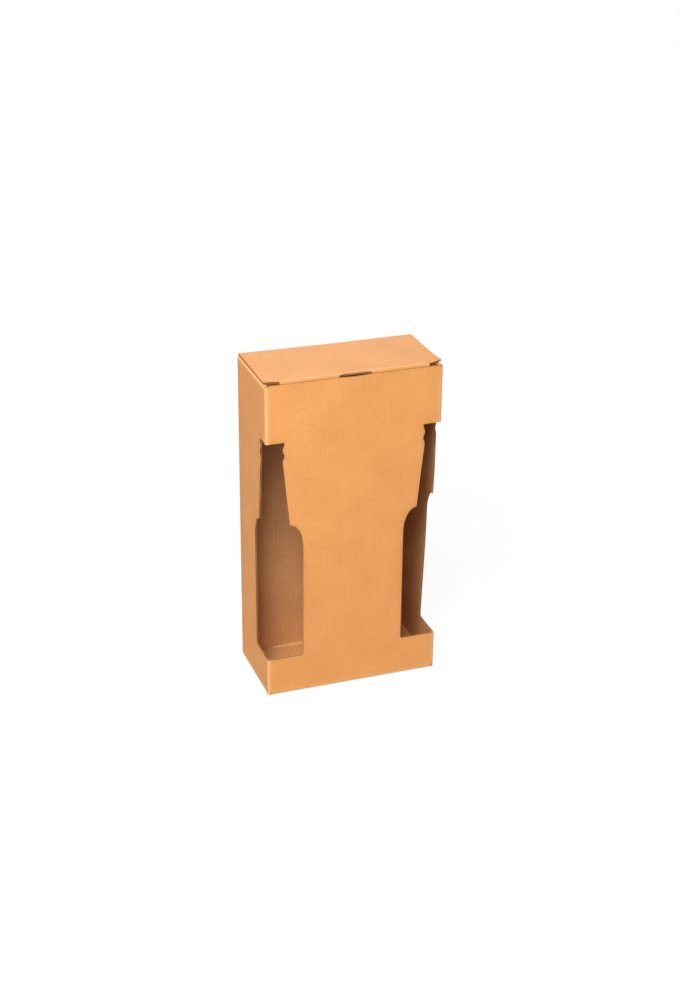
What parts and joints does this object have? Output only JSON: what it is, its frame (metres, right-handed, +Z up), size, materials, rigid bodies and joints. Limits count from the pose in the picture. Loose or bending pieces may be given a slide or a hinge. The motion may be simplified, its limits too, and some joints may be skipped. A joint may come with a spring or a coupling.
{
  "type": "bottle carton",
  "caption": "Tuck-top carton of fluted kraft board with bottle-shaped corner windows, a hinged lid, a divider and an interlocking bottom.",
  "frame": {"origin": "centre of the carton's outline, on the level that it stands on", "axes": "+Z up, -Y out of the front panel, +X to the right of someone who faces the front"},
  "size_m": [0.131, 0.065, 0.245],
  "materials": {
    "board_outside": "matt brown kraft paper on fluted board",
    "board_inside": "matt brown kraft paper, inner side of the board",
    "board_fold": "matt kraft paper stretched over a score line"
  },
  "bodies": {
    "carton": {"front_panel": "board_outside", "back_panel": "board_outside", "left_side_panel": "board_outside", "right_side_panel": "board_outside", "left_front_top_corner": "board_fold", "left_front_base_corner": "board_fold", "right_front_top_corner": "board_fold", "right_front_base_corner": "board_fold", "left_back_corner": "board_fold", "right_back_corner": "board_fold", "seam_flap": "board_inside", "front_bottom_fold": "board_fold", "back_bottom_fold": "board_fold", "left_bottom_fold": "board_fold", "right_bottom_fold": "board_fold", "front_bottom_flap": "board_outside", "back_bottom_flap": "board_outside", "left_bottom_flap": "board_inside", "right_bottom_flap": "board_inside", "centre_divider": "board_inside", "divider_fold": "board_inside", "divider_tab": "board_inside", "left_top_fold": "board_fold", "right_top_fold": "board_fold", "lid_back_fold": "board_fold"},
    "lid": {"lid_panel": "board_outside", "lid_front_fold": "board_fold"},
    "tuck": {"tuck_flap": "board_outside"},
    "left_dust": {"left_dust_flap": "board_inside"},
    "right_dust": {"right_dust_flap": "board_inside"}
  },
  "joints": [
    {"name": "lid_hinge", "type": "hinge", "parent": "carton", "child": "lid", "pos_m": [0.0009, 0.0325, 0.245], "axis": [-1, 0, 0], "range_deg": [0, 180]},
    {"name": "tuck_hinge", "type": "hinge", "parent": "lid", "child": "tuck", "pos_m": [0.0009, -0.0306, 0.245], "axis": [1, 0, 0], "range_deg": [0, 10]},
    {"name": "left_dust_hinge", "type": "hinge", "parent": "carton", "child": "left_dust", "pos_m": [-0.0655, 0, 0.2432], "axis": [0, -1, 0], "range_deg": [0, 90]},
    {"name": "right_dust_hinge", "type": "hinge", "parent": "carton", "child": "right_dust", "pos_m": [0.0655, 0, 0.2432], "axis": [0, 1, 0], "range_deg": [0, 90]}
  ],
  "couplings": [
    {"joint": "left_dust_hinge", "follows": "lid_hinge", "ratio": 0.5},
    {"joint": "right_dust_hinge", "follows": "lid_hinge", "ratio": 0.5}
  ]
}
